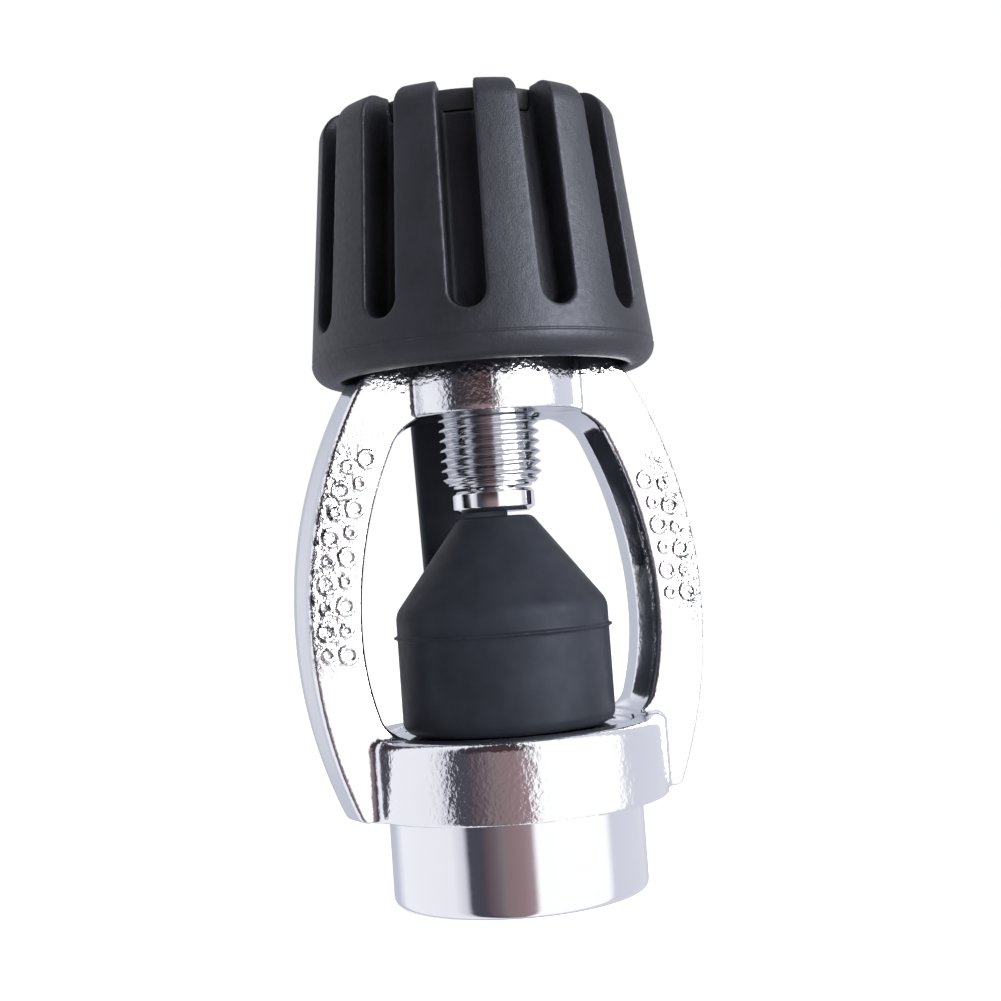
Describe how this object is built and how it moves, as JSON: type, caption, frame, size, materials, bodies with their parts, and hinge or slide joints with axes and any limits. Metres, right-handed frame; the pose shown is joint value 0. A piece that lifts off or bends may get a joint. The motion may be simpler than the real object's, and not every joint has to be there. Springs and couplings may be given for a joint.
{
  "type": "scuba regulator yoke adapter",
  "caption": "Clamp yoke with a ribbed hand screw, a threaded regulator socket and a tethered rubber dust cap.",
  "frame": {"origin": "centre of the regulator socket's open end face, which is the bottom of the part", "axes": "+Z along the clamp screw from the socket to the knob, X across the two yoke arms, -Y the front, with the cap's strap at the back (+Y)"},
  "size_m": [0.0524, 0.0434, 0.0987],
  "materials": {
    "chrome": "bright chrome plate over brass",
    "steel": "bare stainless steel",
    "brass": "machined brass",
    "knob_plastic": "fine-grained black moulding",
    "cap_rubber": "satin black moulded rubber",
    "nitrile": "black nitrile"
  },
  "bodies": {
    "yoke": {"yoke": "chrome", "din_socket": "chrome", "valve_face": "chrome", "body_oring": "nitrile", "strap_ring": "cap_rubber", "strap": "cap_rubber"},
    "foot": {"screw_foot": "chrome", "foot_clip": "steel"},
    "screw": {"clamp_screw": "chrome", "knob_grip": "knob_plastic", "knob_hub": "brass", "bolt_washer": "steel", "knob_bolt": "steel", "knob_cap": "knob_plastic"},
    "cap": {"dust_cap": "cap_rubber"}
  },
  "joints": [
    {"name": "screw_travel", "type": "slide", "parent": "yoke", "child": "foot", "axis": [0, 0, 1], "range_m": [0, 0.0102]},
    {"name": "screw_turn", "type": "hinge", "parent": "foot", "child": "screw", "pos_m": [0, 0, 0.0499], "axis": [0, 0, 1], "range_deg": [0, 2880]},
    {"name": "cap_lift", "type": "slide", "parent": "yoke", "child": "cap", "axis": [0, 0, 1], "range_m": [0, 0.00805], "deforming": ["strap"]}
  ],
  "couplings": [
    {"joint": "screw_travel", "follows": "screw_turn", "m_per_rad": 0.00020213},
    {"joint": "cap_lift", "follows": "screw_turn", "m_per_rad": 0.00015915}
  ]
}
